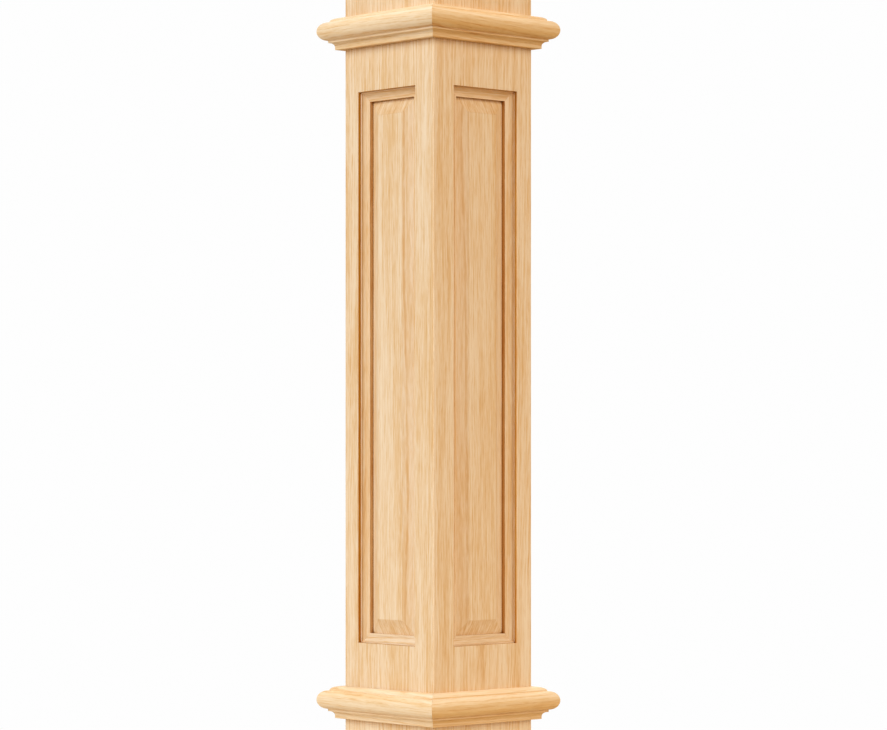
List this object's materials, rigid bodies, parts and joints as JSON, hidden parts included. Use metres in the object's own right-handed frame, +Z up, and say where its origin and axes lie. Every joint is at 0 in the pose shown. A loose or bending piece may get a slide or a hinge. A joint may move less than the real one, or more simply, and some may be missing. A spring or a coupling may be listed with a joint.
{
  "type": "newel post",
  "caption": "Square hollow box newel post in pale oak, with a raised panel in each face, mitred band mouldings above and below the panels and a low pyramid cap.",
  "frame": {"origin": "middle of the underside, on the floor that the post stands on", "axes": "+Z up the post; -Y out of the front face and +X out of the right face, the two faces that the picture shows"},
  "size_m": [0.224, 0.224, 1.397],
  "materials": {
    "face_board": "unfinished planed pale oak, straight vertical grain with some cathedral figure",
    "raised_panel": "unfinished planed pale oak, vertical grain",
    "panel_moulding": "unfinished moulded pale oak, grain along each length",
    "band_moulding": "unfinished moulded pale oak, grain along each length",
    "cap": "unfinished planed pale oak"
  },
  "bodies": {
    "root": {"face_board_front": "face_board", "face_board_right": "face_board", "face_board_back": "face_board", "face_board_left": "face_board", "raised_panel_front": "raised_panel", "raised_panel_right": "raised_panel", "raised_panel_back": "raised_panel", "raised_panel_left": "raised_panel", "panel_moulding_front_lower": "panel_moulding", "panel_moulding_front_right": "panel_moulding", "panel_moulding_front_upper": "panel_moulding", "panel_moulding_front_left": "panel_moulding", "panel_moulding_right_lower": "panel_moulding", "panel_moulding_right_right": "panel_moulding", "panel_moulding_right_upper": "panel_moulding", "panel_moulding_right_left": "panel_moulding", "panel_moulding_back_lower": "panel_moulding", "panel_moulding_back_right": "panel_moulding", "panel_moulding_back_upper": "panel_moulding", "panel_moulding_back_left": "panel_moulding", "panel_moulding_left_lower": "panel_moulding", "panel_moulding_left_right": "panel_moulding", "panel_moulding_left_upper": "panel_moulding", "panel_moulding_left_left": "panel_moulding", "lower_band_front": "band_moulding", "lower_band_right": "band_moulding", "lower_band_back": "band_moulding", "lower_band_left": "band_moulding", "upper_band_front": "band_moulding", "upper_band_right": "band_moulding", "upper_band_back": "band_moulding", "upper_band_left": "band_moulding", "cap_moulding_front": "band_moulding", "cap_moulding_right": "band_moulding", "cap_moulding_back": "band_moulding", "cap_moulding_left": "band_moulding", "cap": "cap"}
  },
  "joints": []
}
